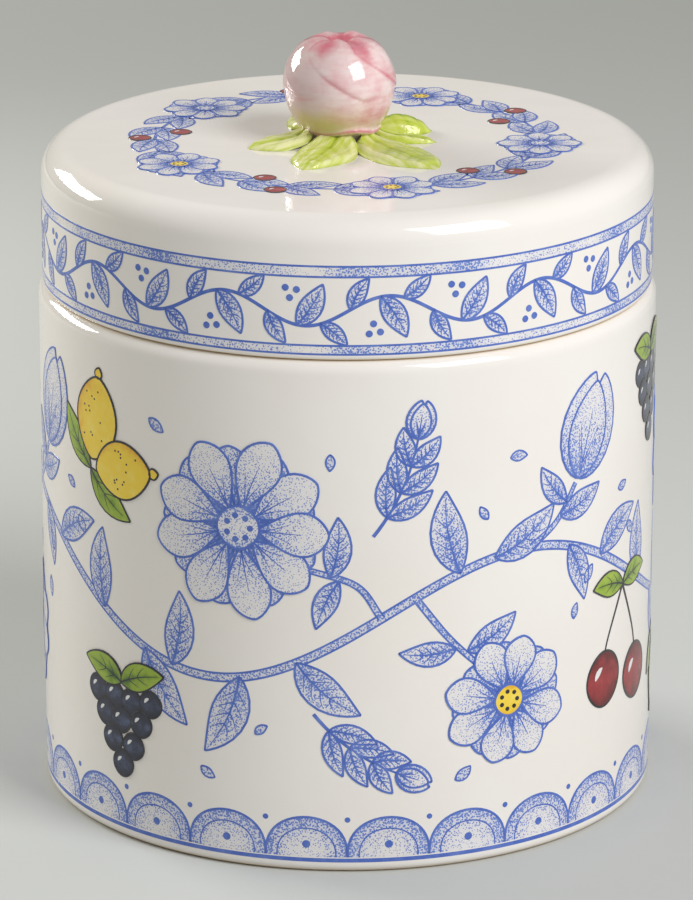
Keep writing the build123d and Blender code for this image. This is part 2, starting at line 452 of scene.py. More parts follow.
def turned_piece(name, line, bare, material, body, node):
    """A turned piece from a half profile of (radius, height) points. bare is a function of distance
    from the axis and height: 1 where the clay shows, 0 under the glaze."""
    radius = np.repeat(line[:, :1], TURNED_SIDES, axis=1)
    height = np.repeat(line[:, 1:], TURNED_SIDES, axis=1)
    points, quads, fans = turned_mesh(radius, height)
    marks = {"bare": bare(np.hypot(points[:, 0], points[:, 1]), points[:, 2])}
    piece = put_mesh(name, points, quads, fans, material, body, marks=marks)
    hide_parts(node)


def jar_piece(material):
    """The jar, turned from its half profile: recessed base, foot ring, wall, shoulder, inside.
    The foot and the land that the lid sits on are bare clay."""
    line = rounded_line(
        [
            (0, FOOT_HEIGHT, 0),
            (FOOT_INNER, FOOT_HEIGHT, FOOT_EDGE),
            (FOOT_INNER, 0, FOOT_EDGE),
            (JAR_RADIUS, 0, BASE_EDGE),
            (JAR_RADIUS, SEAT, SHOULDER_EDGE),
            (MOUTH_RADIUS, SEAT, MOUTH_EDGE),
            (MOUTH_RADIUS, FLOOR_TOP, INNER_CORNER),
            (0, FLOOR_TOP, 0),
        ]
    )

    def bare(out, height):
        foot = (1 - ramp(height, *FOOT_FADE)) * (out > FOOT_INNER - 0.5)
        land = ramp(height, *LAND_FADE) * (out > MOUTH_RADIUS)
        return np.maximum(foot, land)

    turned_piece("jar_glazed", line, bare, material, "jar", "jar_body")


def lid_piece(material):
    """The lid, turned from its half profile: hollow, flange, seat, skirt and flat top.
    Its seat and the outside of the flange are bare clay."""
    inner = LID_RADIUS - LID_WALL
    line = rounded_line(
        [
            (0, LID_TOP - LID_WALL, 0),
            (inner, LID_TOP - LID_WALL, LID_CORNER - LID_WALL),
            (inner, SEAT + LID_WALL, FLANGE_EDGE),
            (FLANGE_INNER, SEAT + LID_WALL, FLANGE_EDGE),
            (FLANGE_INNER, FLANGE_END, FLANGE_EDGE),
            (FLANGE_OUTER, FLANGE_END, FLANGE_EDGE),
            (FLANGE_OUTER, SEAT, SEAT_FILLET),
            (LID_RADIUS, SEAT, LID_EDGE),
            (LID_RADIUS, LID_TOP, LID_CORNER),
            (0, LID_TOP, 0),
        ]
    )

    def bare(out, height):
        return (1 - ramp(height, *LID_FADE)) * (out > FLANGE_INNER + 1)

    turned_piece("lid_glazed", line, bare, material, "lid", "lid_cover")


# Bud

# Half profile, (radius, height over the lid): foot, waist, swell, lip and dimple
BUD_PROFILE = (
    (0.0, 0.05), (5.0, 0.05), (8.0, 0.15), (7.5, 1.4), (8.3, 2.7), (10.5, 5.0), (12.4, 8.2),
    (13.4, 11.9), (13.5, 15.4), (12.75, 18.9), (11.3, 21.7), (9.5, 23.7), (7.5, 24.9), (5.3, 25.4),
    (3.5, 25.2), (2.1, 24.6), (1.1, 24.1), (0.5, 23.9), (0.0, 23.85),
)
BUD_RINGS, BUD_SIDES = 170, 256
BUD_HEIGHT = 25.4
# Where the lip turns in to the dimple, as a share of the profile
BUD_LIP = 14 / 18
LIP_RADIUS, LIP_BREADTH, LIP_LOW = 5.0, 2.6, 20.0
HEM_HEIGHT = 3.9
COLLAR_FLARE = 1.5
# Petals: their number, their width and how far they stand proud in millimetres, the turn of a tip and
# the sweep of an edge in radians, and where an edge starts and ends as shares of the bud's height
PETALS = 5
PETAL_WIDTH = 12.7
PETAL_STEP = 0.4
PETAL_TIP = 0.42
PETAL_SWEEP = 1.3
PETAL_LOW = 0.49
PETAL_HIGH = 0.92
# Rose strokes down from the lip: their turns and width in radians
LIP_STROKES = (-0.42, 0.68, 1.8, 3.0, 4.5)
STROKE_WIDTH = 0.24
STAIN_HEIGHT, STAIN_BREADTH = 6.4, 3.0
# How much rose paint each place takes
EDGE_ROSE, FLUSH_ROSE, LIP_ROSE = 0.36, 0.15, 0.8
BLUSH_ROSE, GLOW_ROSE, RIM_ROSE = 0.44, 0.3, 0.6


def petal_edge(around, share):
    """Where a place on the bud lies in its petal: millimetres over the petal's hem, and the share of
    the way from its free edge to the next one. The petals wrap one over the next, and a free edge
    sweeps from its tip up and to the left."""
    climb = ramp(share, PETAL_LOW, PETAL_HIGH)
    turn = (around - PETAL_TIP + PETAL_SWEEP * climb**0.9) * PETALS / (2 * math.pi)
    along = turn - np.floor(turn)
    scallop = 0.035 * np.sin(math.pi * along) ** 2
    return (share - PETAL_LOW - scallop) * BUD_HEIGHT, along


def bud_hem(around):
    """Height of the bud's hem: two waves round a level."""
    return HEM_HEIGHT + 0.5 * np.sin(3 * around + 0.6) + 0.3 * np.sin(5 * around)


def bud_form(out, up, around, dimple):
    """Radius and height of the bud: its profile, with petals that stand proud at their free edges and
    sink to the next one, a lip in lobes, and a hem that flares on the right."""
    share = up / BUD_HEIGHT
    over, along = petal_edge(around, share)
    proud = eased(PETAL_WIDTH * along, 0, 1.6) * (1 - along) * eased(over, -0.6, 1.2)
    proud = proud * (1 - eased(share, 0.65, 0.88))
    radius = out + PETAL_STEP * (proud - 0.3) * eased(share, 0.2, 0.35) * (1 - dimple)
    lobes = 0.4 * np.cos(PETALS * around + 0.2) + 0.15 * np.cos(2 * around + 1.0)
    height = up + lobes * near(out, LIP_RADIUS, LIP_BREADTH) * (up > LIP_LOW)
    collar = (0.5 + 0.5 * np.cos(around - 0.8)) ** 3
    return radius + COLLAR_FLARE * near(height, bud_hem(around) - 0.4, 0.9) * collar, height


def bud_rose(around, share, height, dimple):
    """How rose the bud's paint is: on the petals' edges and fading behind them, on the lip and in
    strokes down from it, in a blush low on the right and a glow over it, and on dimple and hem."""
    over, along = petal_edge(around, share)
    edge = near(PETAL_WIDTH * (along - np.rint(along)), 0.2, 0.6) * eased(over, -0.4, 0.6)
    edge = edge * (1 - 0.5 * eased(share, 0.65, 0.9))
    tip = near(over, 0.0, 0.7) * (1 - eased(along, 0.1, 0.6))
    flush = (1 - eased(along, 0.0, 0.5)) * eased(over, 0.0, 5.0)
    strokes = sum(near(2 * np.sin((around - place) / 2), 0, STROKE_WIDTH) for place in LIP_STROKES)
    lips = (0.5 + 0.5 * strokes) * eased(share, 0.9 - 0.12 * strokes, 1.0)
    blush = np.clip(np.cos(around - 0.9), 0, 1) * near(share, 0.3, 0.16)
    glow = np.clip(np.sin(around + 0.5), 0, 1) * near(share, 0.6, 0.25)
    hem = near(height, bud_hem(around), 0.35)
    petals = EDGE_ROSE * np.maximum(edge, tip) + FLUSH_ROSE * flush + LIP_ROSE * lips
    return petals + BLUSH_ROSE * blush + GLOW_ROSE * glow + RIM_ROSE * (dimple + hem)


def bud_piece(material):
    """The bud, turned, with marks for its rose paint, its olive stain low in front, the painted shade
    on its left side and the way that the brush went round."""
    line = smooth_line(BUD_PROFILE, BUD_RINGS)
    out, up = line[:, :1], line[:, 1:]
    angle = turns(BUD_SIDES)[None, :]
    around = angle - FRONT
    step = np.linspace(0, 1, BUD_RINGS)[:, None] + 0 * angle
    dimple = eased(step, BUD_LIP - 0.02, BUD_LIP + 0.06)
    radius, height = bud_form(out, up, around, dimple)
    points, quads, fans = turned_mesh(radius, LID_TOP + height)
    points[:, 0] += BUD_X
    stain = near(height, STAIN_HEIGHT, STAIN_BREADTH) * np.clip(np.cos(around + 0.5), 0, 1) ** 2
    fields = {
        "rose": bud_rose(around, up / BUD_HEIGHT, height, dimple),
        "olive": stain,
        # The shade mark is painted shade: the left side is darkened because the key light falls from the
        # right
        "shade": 0.6 * eased(-np.sin(around), -0.6, 0.8) + 0 * step,
        "brush": np.stack([*on_ring(angle, 1 + 0 * step), step], axis=-1),
    }
    marks = {name: on_rings(field) for name, field in fields.items()}
    piece = put_mesh("bud_painted", points, quads, fans, material, "lid", marks=marks)
    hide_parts("knob_bud")


# Leaves: CAD node, root (x, y), tip (x, y), width, crown, the tip's point (lower is blunter) and how
# much deeper the paint is; on the high right leaf that is partly painted shade over the raised top that
# the key light catches
LEAVES = (
    ("leaf_left", (-8.5, -2.2), (-23.8, -9.4), 11.0, 1.7, 0.85, -0.05),
    ("leaf_front_left", (-1.2, -6.0), (-10.5, -29.0), 15.0, 1.7, 0.8, 0.02),
    ("leaf_front_right", (4.6, -5.6), (21.3, -28.2), 16.0, 1.7, 0.85, 0.06),
    ("leaf_right_low", (6.0, -0.4), (21.5, -2.8), 5.6, 1.5, 0.85, 0.1),
    ("leaf_right_high", (4.5, 7.6), (20.5, 8.4), 10.0, 4.4, 0.6, 0.22),
    ("leaf_back", (-5.0, 7.5), (-13.0, 21.5), 12.5, 1.9, 0.85, 0.0),
)
LEAF_ROWS, LEAF_COLUMNS = 71, 41
LEAF_RIM = 0.75
LEAF_FULLEST = 0.44
LEAF_THICKNESS = 1.4
LEAF_EDGE = 0.14
LEAF_CREASE = 70
# A leaf's rise against the bud: how much, from which distance inwards, and how fast it falls away
CLIMB, CLIMB_FROM, CLIMB_FADE = 3.5, 8.0, 4.8
# How sharply the rise and the crown meet, and the distance between side veins
MELT = 2.5
VEIN_PITCH = 4.2
# Rise of a leaf's rim and of its wave, and the cut of its midrib and of a side vein
RIM_RISE, WAVE_RISE = 0.35, 0.22
MIDRIB_CUT, VEIN_CUT = 0.4, 0.13


def leaf_half(u, point):
    """A leaf's half width, 1 at its fullest: an ellipse to the root, and to the tip a parabola, raised
    to the power of the point."""
    root = np.sqrt(np.maximum(1 - ((LEAF_FULLEST - u) / LEAF_FULLEST) ** 2, 0))
    tip = np.maximum(1 - ((u - LEAF_FULLEST) / (1 - LEAF_FULLEST)) ** 2, 0) ** point
    return np.where(u < LEAF_FULLEST, root, tip)


def leaf_relief(u, v, half, length, number):
    """A leaf's rolled rim, its midrib, and side veins that beat along it and sweep to the tip."""
    rim = near(np.abs(v), 0.76, 0.13) * np.sin(math.pi * u) ** 0.5
    midrib = near(half * v, 0, 0.55) * (1 - u**3)
    beat = (length * u - 0.9 * half * np.abs(v)) / VEIN_PITCH + 0.25 * np.sin(5 * u + number)
    side_veins = (0.5 + 0.5 * np.cos(2 * math.pi * beat)) ** 4 * (1 - np.abs(v) ** 3)
    return rim, midrib, side_veins


def leaf_back(u, v, flat, crown, number):
    """Height of a leaf's back: the smooth greater of a rise against the bud and a crown along the
    middle, with a slow wave in x and y."""
    out = np.hypot(flat[..., 0] - BUD_X, flat[..., 1])
    rise = LEAF_RIM + CLIMB * np.exp(-np.maximum(out - CLIMB_FROM, 0) / CLIMB_FADE)
    swell = LEAF_RIM + (crown - LEAF_RIM) * (1 - v**2) * np.sin(math.pi * u) ** 0.7
    wave = WAVE_RISE * np.sin(0.5 * flat[..., 0] + 1.3 + number) * np.sin(0.55 * flat[..., 1] + 0.5)
    return (np.logaddexp(MELT * rise, MELT * swell) - 0.5 * math.log(2)) / MELT + wave


def leaf_piece(number, material):
    """One leaf, a closed plate over u from root to tip and v from side to side. Its top is the back
    with the rim raised and the veins cut in, turned down to a thin edge all round."""
    name, root, tip, width, crown, point, depth = LEAVES[number]
    u = (1 - np.cos(np.linspace(0.03, 0.985, LEAF_ROWS) * math.pi))[:, None] / 2
    v = np.sin(np.linspace(-1, 1, LEAF_COLUMNS) * math.pi / 2)[None, :]
    ahead = np.subtract(tip, root)
    length = np.linalg.norm(ahead)
    half = 0.5 * width * leaf_half(u, point) * (1 + 0.035 * np.sin(11 * u + 2 * number) * np.sign(v))
    flat = root + ahead * u[..., None] + left_of(ahead) * (half * v)[..., None]
    rim, midrib, side_veins = leaf_relief(u, v, half, length, number)
    relief = RIM_RISE * rim - MIDRIB_CUT * midrib - VEIN_CUT * side_veins
    full = leaf_back(u, v, flat, crown, number) + relief
    turned_down = 1 - (1 - eased(np.abs(v), 0.6, 1.0)) * (1 - eased(u, 0.84, 1.0))
    top = np.maximum(full - np.minimum(full - LEAF_EDGE, 1.0) * turned_down, LEAF_EDGE)
    base = np.maximum(np.minimum(full - LEAF_THICKNESS, top - LEAF_EDGE), 0.02)
    points = np.stack([np.dstack([flat, LID_TOP + height]) for height in (top, base)]).reshape(-1, 3)
    edge = near(np.abs(v), 0.96, 0.08)
    # depth adds painted shade on the high right leaf, whose raised top catches the key light
    tone = 0.25 + depth + 0.5 * midrib + 0.16 * side_veins + 0.14 * edge - 0.12 * rim
    brush = np.stack([u + 0 * v, half * v / 5.0, 0 * u * v + 3.7 * number], axis=-1)
    marks = {"tone": np.tile(tone.ravel(), 2), "brush": np.tile(brush.reshape(-1, 3), (2, 1))}
    quads = plate_faces(LEAF_ROWS, LEAF_COLUMNS)
    piece = put_mesh(f"{name}_painted", points, quads, [], material, "lid", LEAF_CREASE, marks)
    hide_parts(name)


# Printed and painted decoration. It is drawn flat, in millimetres, then laid on a surface: the jar's
# wall and the lid's band take (along the rim, height), the lid's top takes (x, y). Each mark is a thin
# closed plate that starts just under the glaze's surface and stands a few hundredths proud of it.
WALLS = {"jar": JAR_RADIUS, "band": LID_RADIUS}
PLATE_ROOT = -0.03
LAYER_STEP = 0.03
LINE_STEP = 0.014
OVERLAP_STEP = 0.026
BERRY_STEP = 0.012
LINE_HALF = 0.27
RIB_HALF = 0.2
FRUIT_LINE = 0.26
PRINT_CREASE = 50
STROKE_TONE = 0.7
pages = {}


def on_surface(zone, flat, lift):
    """Flat points raised by the lift: on the lid's top, or bent round the jar's wall or the lid's
    band, where the middle of the drawing faces the front."""
    if zone == "top":
        return np.stack([flat[..., 0], flat[..., 1], LID_TOP + lift], axis=-1)
    angle = flat[..., 0] / WALLS[zone] + FRONT
    return np.stack([*on_ring(angle, WALLS[zone] + lift), flat[..., 1]], axis=-1)


def keep(zone, paint, points, faces, tone):
    """Files a batch of like plates under its zone and paint. points is (plates, ..., 3), and faces
    are those of one plate."""
    plates = len(points)
    starts = np.arange(plates) * (points[..., 0].size // plates)
    every = starts[:, None, None] + faces[None]
    batch = (points.reshape(-1, 3), every.reshape(-1, 4), tone.ravel())
    pages.setdefault((zone, paint), []).append(batch)


def lay_strokes(zone, paint, line, half, lift, closed=False, side=None, tone=STROKE_TONE):
    """Brush strokes. line is (strokes, steps, 2). Half widths and tones are one number or one per step,
    lifts one number or one per stroke. A stroke is a flat box section, half a width to each side of the
    line, carried along it. A closed one that goes round a wall has its side directions given."""
    strokes, steps = line.shape[:2]
    if side is None and closed:
        side = left_of(np.roll(line, -1, axis=1) - np.roll(line, 1, axis=1))
    elif side is None:
        side = left_of(np.gradient(line, axis=1))
    shift = side * np.broadcast_to(half, (strokes, steps))[..., None]
    flat = np.stack([line - shift, line + shift, line + shift, line - shift], axis=2)
    top = np.broadcast_to(np.reshape(lift, (-1, 1)), (strokes, steps))
    root = np.full((strokes, steps), PLATE_ROOT)
    points = on_surface(zone, flat, np.stack([top, top, root, root], axis=2))
    first = np.arange(4)
    last = (steps - 1) * 4 + first
    if closed:
        ends = np.stack([last, np.roll(last, -1), np.roll(first, -1), first], axis=-1)
    else:
        ends = np.array([first[::-1], last])
    faces = np.concatenate([grid_faces(steps, 4, closed_columns=True), ends])
    keep(zone, paint, points, faces, np.broadcast_to(np.reshape(tone, (1, -1, 1)), flat.shape[:-1]))


def lay_patches(zone, paint, grid, tone, lift):
    """Filled shapes. grid is (shapes, rows, columns, 2) and tone (shapes, rows, columns).
    Each is a plate: the grid raised, the same grid at the root, and a wall round the edge."""
    top = np.broadcast_to(np.reshape(lift, (-1, 1, 1)), tone.shape)
    levels = [on_surface(zone, grid, level) for level in (top, np.full(tone.shape, PLATE_ROOT))]
    keep(zone, paint, np.stack(levels, axis=1), plate_faces(*tone.shape[1:]), np.stack([tone, tone], axis=1))


# Blades: petals, leaves and berries

BLADE_VALUES = ("x", "y", "heading", "length", "width", "bend", "belly", "blunt")
# The blunt of a disc, and the belly and blunt of a printed leaf
ROUND = 0.48
LEAF_SHAPE = (0.85, 0.9)


def blades_of(*values):
    """A batch of blades from the blade values, in their order. Each may be one number or one per
    blade."""
    return dict(zip(BLADE_VALUES, np.broadcast_arrays(*(np.reshape(v, (-1, 1)) for v in values))))


def discs_of(x, y, size):
    """Round blades, by their middles and their sizes across."""
    return blades_of(np.asarray(x) - size / 2, y, 0.0, size, size, 0.0, 1.0, ROUND)


def blade_at(blades, u, v):
    """Points of blades at (u, v): along an arc that turns by bend, and v half widths to its left. The
    half width is a sine bump from root to tip, with its fullest place set by belly (above 1 is nearer
    the tip) and its ends by blunt (below 1 is rounder)."""
    bump = np.sin(math.pi * np.clip(u, 0.0005, 0.9995) ** blades["belly"])
    half = 0.5 * blades["width"] * np.maximum(bump, 1e-4) ** blades["blunt"] * v
    heading = blades["heading"]
    bend = np.where(np.abs(blades["bend"]) < 1e-4, 1e-4, blades["bend"])
    now = heading + bend * u
    reach = blades["length"] / bend
    x = blades["x"] + reach * (np.sin(now) - np.sin(heading))
    y = blades["y"] + reach * (np.cos(heading) - np.cos(now))
    return np.stack([x - np.sin(now) * half, y + np.cos(now) * half], axis=-1)


def fill_blades(zone, paint, blades, lift, tone, rows=12, columns=7):
    """Fills blades with a paint. tone is a function of (u, v) for the depth of the colour."""
    u = (1 - np.cos(np.linspace(0.02, 0.98, rows) * math.pi)) / 2
    v = np.linspace(-1, 1, columns)
    uu, vv = (grid.ravel() for grid in np.meshgrid(u, v, indexing="ij"))
    shape = (len(blades["x"]), rows, columns)
    grid = blade_at(blades, uu, vv).reshape(*shape, 2)
    shade = np.broadcast_to(tone(uu, vv).reshape(1, rows, columns), shape)
    lay_patches(zone, paint, grid, shade, lift)


def edge_blades(zone, paint, blades, lift, half=LINE_HALF, steps=14):
    """Outlines blades: one closed stroke, up one side to the tip and down the other."""
    up = (1 - np.cos(np.linspace(0, 1, steps) * math.pi)) / 2
    u = np.concatenate([up, up[::-1]])
    v = np.repeat([1.0, -1.0], steps)
    lay_strokes(zone, paint, blade_at(blades, u, v), half, lift, closed=True)


def middle_blades(zone, paint, blades, lift, start, end, half):
    """The middle rib of blades, thinning towards the tip."""
    t = np.linspace(0, 1, 10)
    line = blade_at(blades, start + (end - start) * t, 0 * t)
    lay_strokes(zone, paint, line, half * (1 - 0.7 * t), lift)


def rib_blades(zone, paint, blades, lift, places, fan, reach, half=RIB_HALF):
    """Ribs on blades: from the middle line at each place, out to v = fan, reach further along."""
    t = np.linspace(0, 1, 6)
    for place in places:
        for side in (1.0, -1.0):
            line = blade_at(blades, place + reach * t, side * fan * t**0.8)
            lay_strokes(zone, paint, line, half * (1 - 0.75 * t), lift)


def draw_blades(
    zone, paints, blades, lift, tone, grid=(12, 7), edge=(LINE_HALF, 14), middle=None, ribs=None
):
    """Blades filled with the first paint, then outlined and ribbed with the second. grid, edge, middle
    and ribs are the further values of the four functions above."""
    ground, ink = paints
    fill_blades(zone, ground, blades, lift, tone, *grid)
    edge_blades(zone, ink, blades, lift + LINE_STEP, *edge)
    if middle:
        middle_blades(zone, ink, blades, lift + LINE_STEP, *middle)
    if ribs:
        rib_blades(zone, ink, blades, lift + LINE_STEP, *ribs)


def layer_lift(layer):
    """How far a layer of the drawing stands proud."""
    return LAYER_STEP * (1 + layer)


# Depths of colour, as functions of u from root to tip and v from side to side

def plain_tone(base, to_tip=0.0, to_sides=0.0):
    """A tone that changes from its base by so much to the tip, and by so much to both sides."""

    def tone(u, v):
        return base + to_tip * u + to_sides * v**2

    return tone


def petal_tone(shade):
    """A tone over that shade, darker to the petal's root and a little to its sides."""

    def tone(u, v):
        return shade + 0.6 * (1 - u) ** 2 + 0.14 * v**2

    return tone


def leaf_tone(u, v):
    """Darker to the root and beside the rib."""
    return 0.32 + 0.4 * (1 - u) ** 1.3 + 0.28 * near(v, 0, 0.3)


def lemon_tone(u, v):
    """A fruit lit from one side: deeper to the other side and towards the tip."""
    return 0.35 + 0.5 * v**2 * (v > 0) + 0.2 * u**3


even_tone = plain_tone(0.6)
loose_tone = plain_tone(0.75, -0.3)
berry_tone = plain_tone(0.3, 0.0, 0.55)
cherry_tone = plain_tone(0.4, 0.25, 0.5)


# Motifs

PRINT = ("wash", "blue")
STEM_HALF = 0.75
STEM_LINE = 0.2
STALK_HALF = 0.35
FRUIT_LAYER = 3
# Parts of a daisy as shares of its radius: where petals start, the heart, the ring of seeds, a seed
DAISY_ROOT, DAISY_HEART, SEED_RING, SEED_RADIUS = 0.2, 0.46, 0.13, 0.034
SEEDS = 7
# How far a grape's outline and its glint stand over it
GRAPE_LINE_STEP, GRAPE_GLINT_STEP = 0.006, 0.008


def blue_leaves(zone, blades, layer):
    """Printed leaves: stippled, outlined and veined."""
    ribs = ((0.16, 0.3, 0.44, 0.58), 0.8, 0.16)
    draw_blades(zone, PRINT, blades, layer_lift(layer), leaf_tone, middle=(0.0, 0.9, 0.3), ribs=ribs)


def stem(points, layer):
    """A printed stalk through the points: a dark stippled stroke with a fine line down each side."""
    line = smooth_line(points, 28)
    taper = STEM_HALF * np.linspace(1.0, 0.7, 28)
    side = left_of(np.gradient(line, axis=0)) * taper[:, None]
    lay_strokes("jar", "wash", line[None], taper, layer_lift(layer))
    edges = np.stack([line + side, line - side])
    lay_strokes("jar", "blue", edges, STEM_LINE, layer_lift(layer) + LINE_STEP)


def dots(zone, paint, x, y, radius, lift):
    """Small round spots."""
    fill_blades(zone, paint, discs_of(x, y, 2 * radius), lift, even_tone, 7, 5)


def glints(zone, x, y, size, lift):
    """A curved white brush mark on the left of each round fruit."""
    marks = blades_of(x - 0.27 * size, y + 0.02 * size, 1.2, 0.3 * size, 0.125 * size, -0.9, 1.0, 0.7)
    fill_blades(zone, "white", marks, lift, even_tone, 7, 5)


def red_fruit(zone, x, y, size, lift, tone, grid, edge):
    """Round red fruit, outlined, with a glint on each."""
    draw_blades(zone, ("red", "dark"), discs_of(x, y, size), lift, tone, grid, edge)
    glints(zone, x, y, size, lift + LINE_STEP)


def daisy(zone, x, y, radius, petals, layer, turn, heart):
    """An open flower: a ring of blunt petals over a hidden ring, round a stippled or painted heart.
    Every second petal of a ring lies over its neighbours, and in an odd ring the last over all."""
    base = layer_lift(layer)
    level = np.arange(petals) % 2
    level[-1] = 1 + petals % 2
    middle = (0.05, 0.62, 0.22)
    ribs = ((0.03,), 0.5, 0.45, 0.18)
    for row, shade in ((0, 0.5), (1, 0.2)):
        angle = turn + turns(petals) + row * math.pi / petals + chance.normal(0, 0.035, petals)
        reach = radius * (0.66 + 0.1 * row) * (1 + chance.normal(0, 0.03, petals))
        bend = chance.normal(0, 0.16, petals)
        foot = on_ring(angle, DAISY_ROOT * radius, x, y)
        blades = blades_of(*foot, angle, reach, 4.2 * radius / petals, bend, 1.5, 0.6)
        lift = base + OVERLAP_STEP * (3 * row + level)
        draw_blades(zone, PRINT, blades, lift, petal_tone(shade), (16, 7), (LINE_HALF, 18), middle, ribs)
    top = base + 6 * OVERLAP_STEP
    ground, spot = ("yellow", "dark") if heart == "yellow" else PRINT
    disc = discs_of(x, y, DAISY_HEART * radius)
    draw_blades(zone, (ground, "blue"), disc, top, berry_tone, (14, 9), (0.3, 20))
    seeds = on_ring(turns(SEEDS), SEED_RING * radius, x, y)
    dots(zone, spot, *seeds, SEED_RADIUS * radius, top + LINE_STEP)


def tulip(x, y, heading, size, layer):
    """A closed flower: two outer petals that part, and one in front."""
    bends = np.array([0.75, -0.75])
    outer = blades_of(x, y, heading - 0.6 * bends, size, 0.5 * size, bends, 0.85, 0.75)
    lift = layer_lift(layer) + OVERLAP_STEP * np.arange(2)
    draw_blades("jar", PRINT, outer, lift, petal_tone(0.24), ribs=((0.1, 0.25), 0.5, 0.4))
    inner = blades_of(x, y, heading, 0.9 * size, 0.52 * size, 0.05, 0.9, 0.7)
    lift = layer_lift(layer) + 2 * OVERLAP_STEP
    ribs = ((0.05, 0.15), 0.5, 0.4)
    draw_blades("jar", PRINT, inner, lift, petal_tone(0.24), middle=(0.03, 0.7, 0.25), ribs=ribs)


def sprig(x, y, heading, size, layer):
    """A small printed twig: a bent stalk, three pairs of leaves that shrink to its end, and a bud."""
    bend = 0.5
    spine = blades_of(x, y, heading, size, 1.0, bend, 1.0, 1.0)
    along = np.linspace(0, 1, 14)
    lay_strokes("jar", "blue", blade_at(spine, along, 0 * along), 0.45 - 0.2 * along, layer_lift(layer))
    place = np.array([0.22, 0.48, 0.74])
    foot = blade_at(spine, place, 0 * place)[0].T
    length = size * (0.52 - 0.2 * place)
    for side, over in ((1.0, 1), (-1.0, 2)):
        lean = heading + bend * place + 0.75 * side
        leaves = blades_of(*foot, lean, length, 0.18 * size, -0.5 * side, *LEAF_SHAPE)
        blue_leaves("jar", leaves, layer + over)
    end = blade_at(spine, np.ones(1), np.zeros(1))[0, 0]
    tulip(*end, heading + bend, 0.36 * size, layer + 3)


def loose_petals(x, y, layer):
    """Small loose petals, each a stippled lens at its own angle."""
    heading = chance.uniform(0, 2 * math.pi, len(x))
    size = chance.uniform(3.6, 5.6, len(x))
    bend = chance.uniform(-0.6, 0.6, len(x))
    petals = blades_of(x, y, heading, size, 0.55 * size, bend, 0.9, 0.8)
    draw_blades("jar", PRINT, petals, layer_lift(layer), loose_tone, (8, 5), (0.22, 9))


def green_pair(x, y, lean, length, width, bend, shape, layer):
    """Two painted leaves in two greens from one point, the second over the first, with dark ribs.
    shape is the belly and the blunt of both."""
    blades = blades_of(x, y, lean, length, width, np.multiply(bend, [1, -1]), shape, shape)
    lift = layer_lift(layer + np.arange(2))
    middle = (0.0, 0.85, 0.22)
    ribs = ((0.2, 0.42), 0.7, 0.2, 0.14)
    draw_blades("jar", ("green", "dark"), blades, lift, leaf_tone, (12, 7), (0.2, 14), middle, ribs)


def cherries(x, y, size):
    """A pair of red cherries that hang from one point, with a green leaf each side of it."""
    across, down = np.array([[-0.62, 0.58], [-1.55, -1.75]]) * size
    taper = STALK_HALF * np.linspace(1.0, 0.6, 18)
    for aside, fall in zip(across, down):
        points = [(x, y), (x + 0.75 * aside, y + 0.5 * fall), (x + aside, y + fall + 0.42 * size)]
        lay_strokes("jar", "dark", smooth_line(points, 18)[None], taper, layer_lift(FRUIT_LAYER))
    lift = layer_lift(FRUIT_LAYER + 1) + BERRY_STEP * np.arange(2)
    red_fruit("jar", x + across, y + down, size, lift, cherry_tone, (16, 11), (FRUIT_LINE, 22))
    green_pair(x, y, [0.35, 2.75], size, 0.46 * size, -0.5, 0.9, FRUIT_LAYER + 2)


def lemons(x, y, size, heading):
    """Two yellow lemons from one stalk end, pitted with dots, and green leaves beside them."""
    turn = heading + np.array([0.62, -0.55])
    scale = np.array([1.0, 0.9]) * size
    foot = on_ring(turn, 0.12 * size, x, y)
    fruit = blades_of(*foot, turn, scale, 0.75 * scale, [0.12, -0.12], 1.0, 0.62)
    lift = layer_lift(FRUIT_LAYER + 2) + OVERLAP_STEP * np.arange(2)
    paints = ("yellow", "dark")
    draw_blades("jar", paints, fruit, lift, lemon_tone, (16, 11), (FRUIT_LINE, 20))
    nib = blade_at(fruit, np.full(1, 0.985), np.zeros(1))[:, 0].T
    tips = blades_of(*nib, turn, 0.13 * size, 0.13 * size, 0.0, 0.8, 0.7)
    draw_blades("jar", paints, tips, lift, even_tone, (6, 5), (0.22, 8))
    pits = 13
    place = blade_at(fruit, chance.uniform(0.18, 0.85, (2, pits)), chance.uniform(-0.7, 0.7, (2, pits)))
    dots("jar", "dark", *place.reshape(-1, 2).T, 0.013 * size, np.repeat(lift + LINE_STEP, pits))
    green_pair(x, y, heading + np.array([1.75, -1.6]), 0.85 * size, 0.34 * size, -0.5, 0.9, FRUIT_LAYER)


def grapes(x, y, size):
    """A hanging bunch of dark berries in rows of four to one, with a glint on each, under two leaves."""
    counts = np.array([4, 3, 2, 1])
    row = np.repeat(np.arange(4), counts)
    place = np.concatenate([np.arange(count) - (count - 1) / 2 for count in counts])
    berries = len(place)
    across = x + place * size * 0.93 + chance.normal(0, 0.25, berries)
    down = y - size * (0.7 + 0.84 * row) + chance.normal(0, 0.25, berries)
    lift = layer_lift(FRUIT_LAYER + 1) + BERRY_STEP * np.arange(berries)
    fruit = discs_of(across, down, size)
    fill_blades("jar", "plum", fruit, lift, berry_tone)
    edge_blades("jar", "dark", fruit, lift + GRAPE_LINE_STEP, 0.2, 16)
    glints("jar", across, down, size, lift + GRAPE_GLINT_STEP)
    green_pair(x, y - 1.0, [2.7, 0.5], 2.1 * size, 1.05 * size, 0.4, 0.8, FRUIT_LAYER + 6)


# Lines round a wall
RING_STEPS = 360
RAIL_LINE = 0.24


def wave_round(zone, waves, steps, middle, swing, lag=0.0):
    """A sine wave closed round a wall: its points, and the unit vectors to its left."""
    pitch = 2 * math.pi * WALLS[zone] / waves
    along = np.linspace(0, waves * pitch, steps, endpoint=False)
    turn = 2 * math.pi * (along - lag) / pitch
    slope = 2 * math.pi / pitch * swing * np.cos(turn)
    line = np.stack([along, middle + swing * np.sin(turn)], axis=-1)
    return line[None], left_of(np.stack([np.ones(steps), slope], axis=-1))[None]


